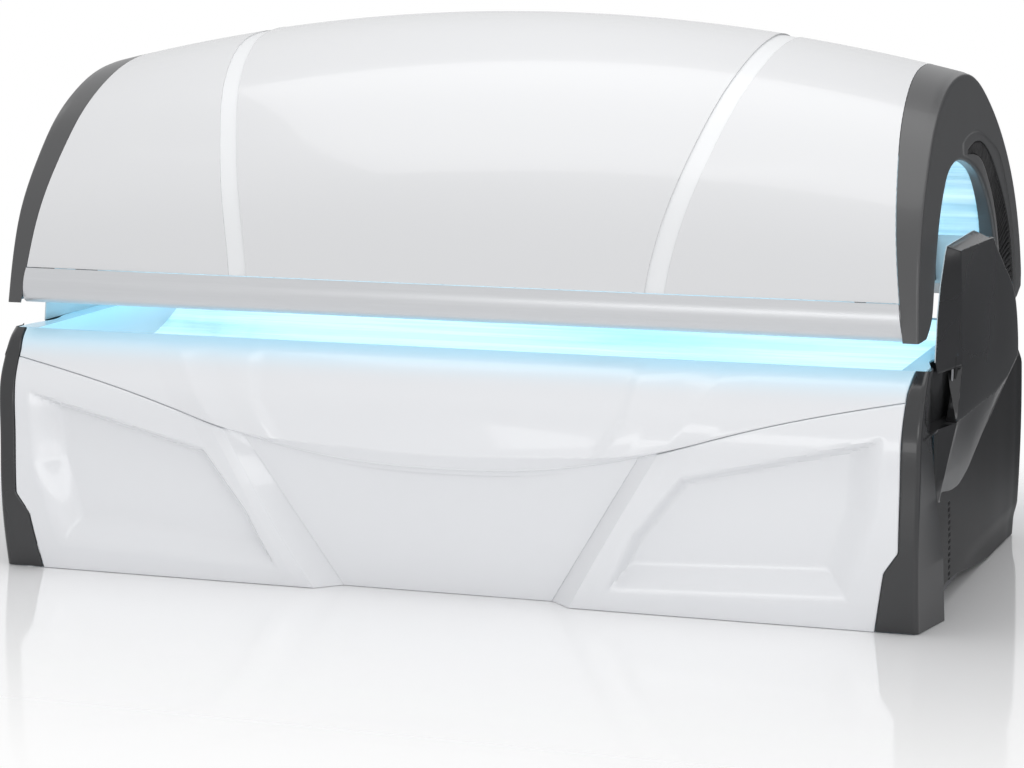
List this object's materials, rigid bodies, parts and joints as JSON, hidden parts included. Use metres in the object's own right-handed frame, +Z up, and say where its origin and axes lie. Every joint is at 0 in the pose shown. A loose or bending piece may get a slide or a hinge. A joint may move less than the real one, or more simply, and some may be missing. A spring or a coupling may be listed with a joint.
{
  "type": "clamshell tanning bed",
  "caption": "Free-standing clamshell tanning bed: moulded base with a curved acrylic bed and a hinged domed canopy with dark end rings.",
  "frame": {"origin": "centre of the machine's bounding box on the floor", "axes": "+X along the length, to the user's right when facing the front; -Y is the front; +Z up"},
  "size_m": [2.4768, 1.4598, 1.3735],
  "materials": {
    "white_gloss": "white gloss moulding",
    "seam_light": "light gloss strip",
    "anthracite": "dark grey gloss moulding",
    "black_grille": "black slats",
    "light_panel": "light grey moulding",
    "grey_sheet": "grey powder coat",
    "satin_silver": "satin silver",
    "aluminium_profile": "extruded profile",
    "acrylic": "clear acrylic",
    "lamp_glass": "fluorescent tube",
    "holder_white": "lamp holder",
    "reflector_bright": "bright reflector sheet",
    "painted_steel": "powder coated steel",
    "steel_pin": "ground steel",
    "bush_brass": "bearing bush",
    "rubber_black": "rubber",
    "black_plastic": "black moulding",
    "button_grey": "push button"
  },
  "bodies": {
    "base": {"back_panel": "grey_sheet", "ballasts": "black_plastic", "base_frame": "painted_steel", "bed_acrylic": "acrylic", "bed_end_frame_left": "grey_sheet", "bed_end_frame_right": "grey_sheet", "bed_lamp_holders": "holder_white", "bed_lamp_racks": "painted_steel", "bed_lamps": "lamp_glass", "bed_reflector": "reflector_bright", "column_cover_left": "anthracite", "column_cover_right": "anthracite", "column_inner_panel_left": "light_panel", "column_inner_panel_right": "light_panel", "end_cap_left": "anthracite", "end_cap_right": "anthracite", "end_wall_left": "grey_sheet", "end_wall_right": "grey_sheet", "fan_frames": "black_plastic", "floor_tray": "painted_steel", "levelling_feet": "rubber_black", "lower_panel_centre": "white_gloss", "lower_panel_left": "white_gloss", "lower_panel_right": "white_gloss", "pivot_bushes": "bush_brass", "pivot_post_left": "painted_steel", "pivot_post_right": "painted_steel", "power_inlet": "black_plastic", "side_housing_left": "anthracite", "side_housing_right": "anthracite", "stop_pads": "rubber_black", "upper_front_panel": "white_gloss"},
    "canopy": {"canopy_acrylic": "acrylic", "canopy_frame": "painted_steel", "canopy_lamp_holders": "holder_white", "canopy_lamps": "lamp_glass", "canopy_reflector": "reflector_bright", "canopy_seam_left": "seam_light", "canopy_seam_right": "seam_light", "canopy_shell_centre": "white_gloss", "canopy_shell_left": "white_gloss", "canopy_shell_right": "white_gloss", "control_panel": "black_plastic", "end_ring_left": "anthracite", "end_ring_right": "anthracite", "front_trim": "satin_silver", "hinge_brackets": "painted_steel", "lip_profile": "aluminium_profile", "pivot_pins": "steel_pin", "rear_edge_profile": "light_panel", "vent_grille_left": "black_grille", "vent_grille_right": "black_grille"},
    "button_1": {"button_1": "button_grey"},
    "button_2": {"button_2": "button_grey"},
    "button_3": {"button_3": "button_grey"},
    "button_4": {"button_4": "button_grey"},
    "fan_impeller_left": {"fan_impeller_left": "black_plastic"},
    "fan_impeller_right": {"fan_impeller_right": "black_plastic"}
  },
  "joints": [
    {"name": "canopy_hinge", "type": "hinge", "parent": "base", "child": "canopy", "pos_m": [0, 0.24, 0.64], "axis": [-1, 0, 0], "range_deg": [0, 38]},
    {"name": "fan_left_spin", "type": "hinge", "parent": "base", "child": "fan_impeller_left", "pos_m": [-0.56, 0.45, 0.178], "axis": [0, 1, 0], "continuous": true},
    {"name": "fan_right_spin", "type": "hinge", "parent": "base", "child": "fan_impeller_right", "pos_m": [0.56, 0.45, 0.178], "axis": [0, 1, 0], "continuous": true},
    {"name": "button_1_press", "type": "slide", "parent": "canopy", "child": "button_1", "axis": [0, -0.6668, 0.7452], "range_m": [0, 0.0015], "stiffness_N_per_m": 600},
    {"name": "button_2_press", "type": "slide", "parent": "canopy", "child": "button_2", "axis": [0, -0.6668, 0.7452], "range_m": [0, 0.0015], "stiffness_N_per_m": 600},
    {"name": "button_3_press", "type": "slide", "parent": "canopy", "child": "button_3", "axis": [0, -0.6668, 0.7452], "range_m": [0, 0.0015], "stiffness_N_per_m": 600},
    {"name": "button_4_press", "type": "slide", "parent": "canopy", "child": "button_4", "axis": [0, -0.6668, 0.7452], "range_m": [0, 0.0015], "stiffness_N_per_m": 600}
  ]
}
